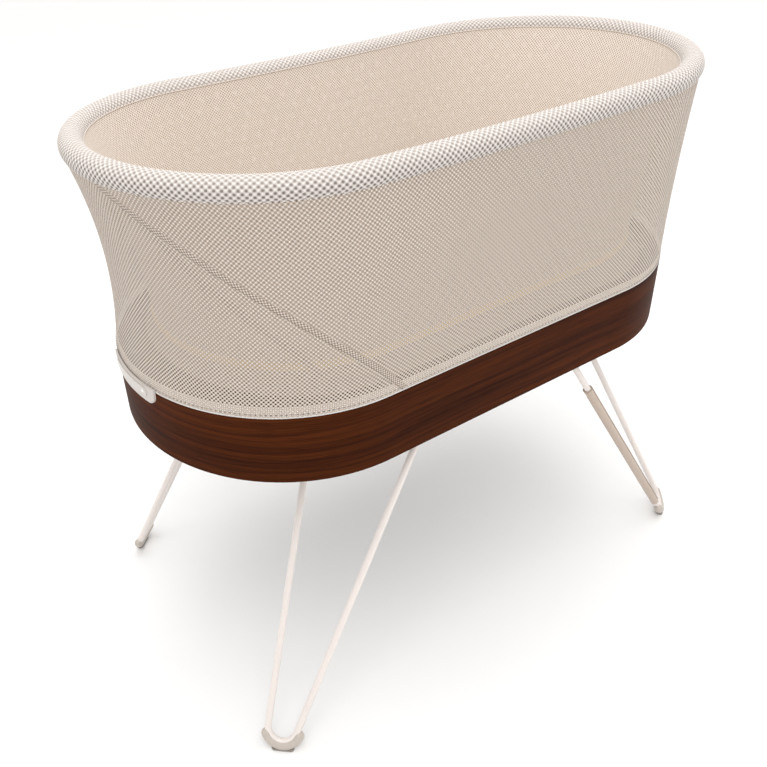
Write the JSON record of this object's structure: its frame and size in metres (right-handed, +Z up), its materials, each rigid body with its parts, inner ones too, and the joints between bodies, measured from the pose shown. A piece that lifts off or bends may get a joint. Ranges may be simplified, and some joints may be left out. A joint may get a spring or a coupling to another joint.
{
  "type": "bassinet on stand",
  "caption": "Oval mesh-walled bassinet with a padded rim and bentwood base band on splayed hairpin legs; its platform swivels under a lift-out mattress.",
  "frame": {"origin": "on the floor under the middle of the bassinet", "axes": "+Z up, +X along the length away from the control tab, -Y the front long side"},
  "size_m": [0.8938, 0.5194, 0.791],
  "materials": {
    "walnut": "satin lacquered walnut, grain along the band",
    "mesh": "off-white three-dimensional knitted mesh",
    "lining": "warm cream fine mesh",
    "foam": "closed-cell foam",
    "white_metal": "warm white powder coat",
    "white_plastic": "fine satin moulded",
    "shoe_grey": "satin taupe moulded",
    "black_rubber": "matt",
    "dark_plastic": "fine spark texture",
    "aluminium": "brushed",
    "steel": "turned",
    "bronze": "sintered bronze",
    "acetal": "natural acetal",
    "mattress_cover": "quilted cotton cover",
    "circuit": "green solder mask",
    "chip": "matt black",
    "lamp": "clear frosted",
    "paper": "pressed paper"
  },
  "bodies": {
    "base": {"wood_band": "walnut", "base_pan": "dark_plastic", "under_cover": "dark_plastic", "base_deck": "dark_plastic", "bottom_piping": "mesh", "leg_socket_front_left": "aluminium", "leg_socket_front_right": "aluminium", "leg_socket_back_left": "aluminium", "leg_socket_back_right": "aluminium", "rim_hoop": "aluminium", "rim_foam": "foam", "rim_sleeve": "mesh", "outer_mesh": "mesh", "inner_lining": "lining", "rim_strut_front": "white_metal", "rim_strut_back": "white_metal", "pivot_hub": "aluminium", "bush_upper": "bronze", "bush_lower": "bronze", "motor_plate": "steel", "motor": "steel", "control_board": "circuit", "board_standoffs": "acetal", "board_parts": "chip", "speaker_frame": "steel", "speaker_cone": "paper", "power_inlet": "dark_plastic", "glide_pads": "acetal", "control_tab": "white_plastic", "switch_pad": "dark_plastic", "cover_screws": "steel", "deck_screws": "steel", "socket_screws": "steel", "drive_screws": "steel"},
    "platform": {"platform": "white_plastic", "pivot_shaft": "steel", "pivot_circlip": "steel", "sector_gear": "acetal", "platform_screws": "steel"},
    "mattress": {"mattress": "mattress_cover"},
    "pinion": {"drive_pinion": "bronze", "motor_shaft": "steel"},
    "button": {"power_button": "white_plastic", "status_lamp": "lamp"},
    "leg_front_left": {"leg_front_left": "white_metal", "foot_shoe_front_left": "shoe_grey", "foot_sole_front_left": "black_rubber"},
    "leg_front_right": {"leg_front_right": "white_metal", "foot_shoe_front_right": "shoe_grey", "foot_sole_front_right": "black_rubber", "cable_channel": "white_metal"},
    "leg_back_left": {"leg_back_left": "white_metal", "foot_shoe_back_left": "shoe_grey", "foot_sole_back_left": "black_rubber"},
    "leg_back_right": {"leg_back_right": "white_metal", "foot_shoe_back_right": "shoe_grey", "foot_sole_back_right": "black_rubber"}
  },
  "joints": [
    {"name": "platform_swivel", "type": "hinge", "parent": "base", "child": "platform", "pos_m": [0, 0, 0.528], "axis": [0, 0, 1], "range_deg": [-2.5, 2.5]},
    {"name": "pinion_turn", "type": "hinge", "parent": "base", "child": "pinion", "pos_m": [0.14, 0, 0.52], "axis": [0, 0, 1], "range_deg": [-23, 23]},
    {"name": "mattress_lift", "type": "slide", "parent": "platform", "child": "mattress", "axis": [0, 0, 1], "range_m": [0, 0.26]},
    {"name": "power_button_press", "type": "slide", "parent": "base", "child": "button", "axis": [1, 0, 0], "range_m": [0, 0.0012], "stiffness_N_per_m": 800, "springref_m": -0.002},
    {"name": "leg_pull_front_left", "type": "slide", "parent": "base", "child": "leg_front_left", "axis": [-0.4572, -0.1663, -0.8737], "range_m": [0, 0.06]},
    {"name": "leg_pull_front_right", "type": "slide", "parent": "base", "child": "leg_front_right", "axis": [0.4572, -0.1663, -0.8737], "range_m": [0, 0.06]},
    {"name": "leg_pull_back_left", "type": "slide", "parent": "base", "child": "leg_back_left", "axis": [-0.4572, 0.1663, -0.8737], "range_m": [0, 0.06]},
    {"name": "leg_pull_back_right", "type": "slide", "parent": "base", "child": "leg_back_right", "axis": [0.4572, 0.1663, -0.8737], "range_m": [0, 0.06]}
  ],
  "couplings": [
    {"joint": "pinion_turn", "follows": "platform_swivel", "ratio": -9}
  ]
}
